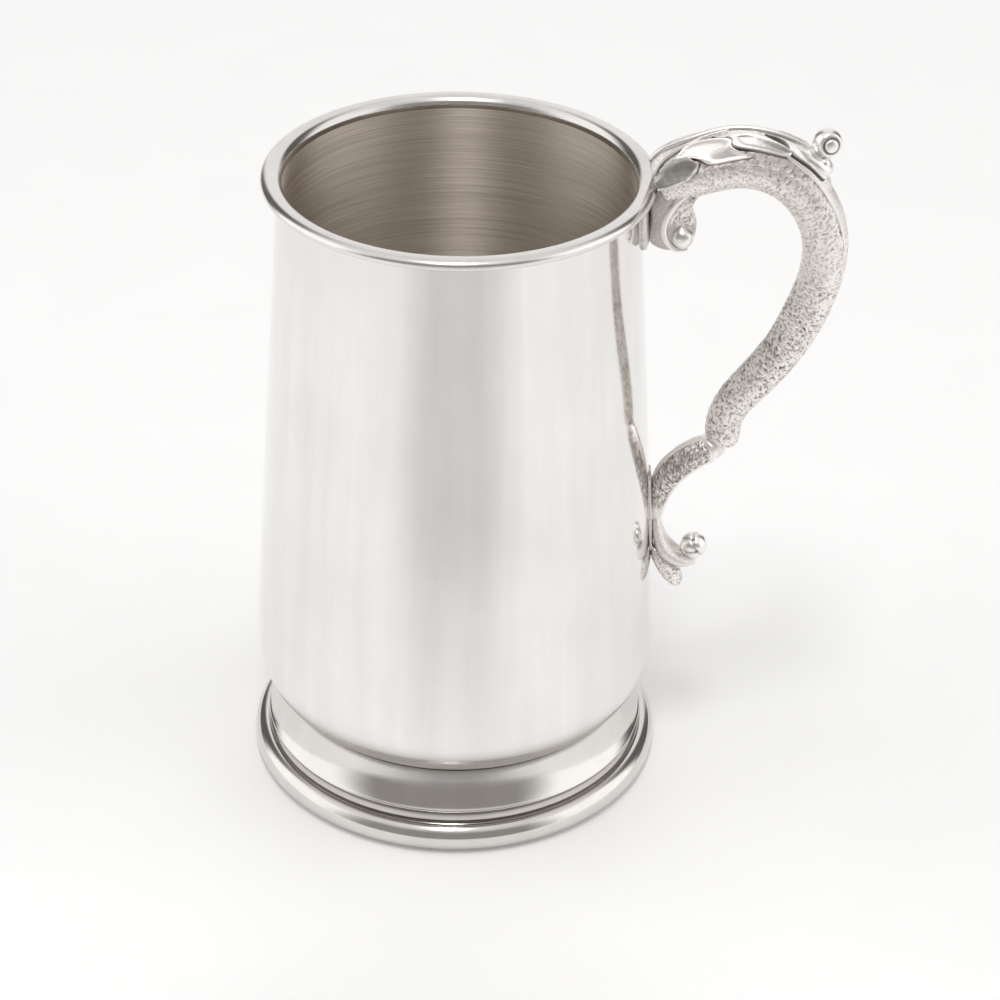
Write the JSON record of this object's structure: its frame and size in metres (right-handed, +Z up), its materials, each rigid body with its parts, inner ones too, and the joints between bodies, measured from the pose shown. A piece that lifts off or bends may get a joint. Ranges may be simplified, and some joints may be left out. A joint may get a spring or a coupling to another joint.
{
  "type": "pewter tankard",
  "caption": "Straight-sided pewter drinking tankard with a rolled rim, a spread foot and a cast scroll handle with leaf ornament and a thumb ball.",
  "frame": {"origin": "centre of the bounding box at the underside of the foot", "axes": "+Z up along the cup axis, +X towards the handle, +Y across the handle"},
  "size_m": [0.1234, 0.0896, 0.1522],
  "materials": {
    "polished_pewter": "polished pewter, spun, faint turning marks",
    "satin_pewter": "satin pewter, fine rings left by turning",
    "cast_pewter": "cast pewter with a bark-like texture, darkened in its hollows",
    "leaf_pewter": "cast pewter, raised ornament polished bright"
  },
  "bodies": {
    "root": {"cup_body": "polished_pewter", "rim_bead": "polished_pewter", "foot_collar": "polished_pewter", "foot_bead": "polished_pewter", "upper_saddle": "satin_pewter", "lower_saddle": "satin_pewter", "foot_solder": "satin_pewter", "handle_grip": "cast_pewter", "lower_scroll": "cast_pewter", "tail_leaf": "cast_pewter", "leaf_low_near": "leaf_pewter", "leaf_low_far": "leaf_pewter", "leaf_mid_near": "leaf_pewter", "leaf_mid_far": "leaf_pewter", "leaf_top_near": "leaf_pewter", "leaf_top_far": "leaf_pewter", "ridge_vine": "leaf_pewter", "thumb_leaf": "leaf_pewter", "lower_curl": "leaf_pewter", "thumb_ball": "leaf_pewter", "lower_bud": "leaf_pewter", "scroll_drop": "leaf_pewter"}
  },
  "joints": []
}
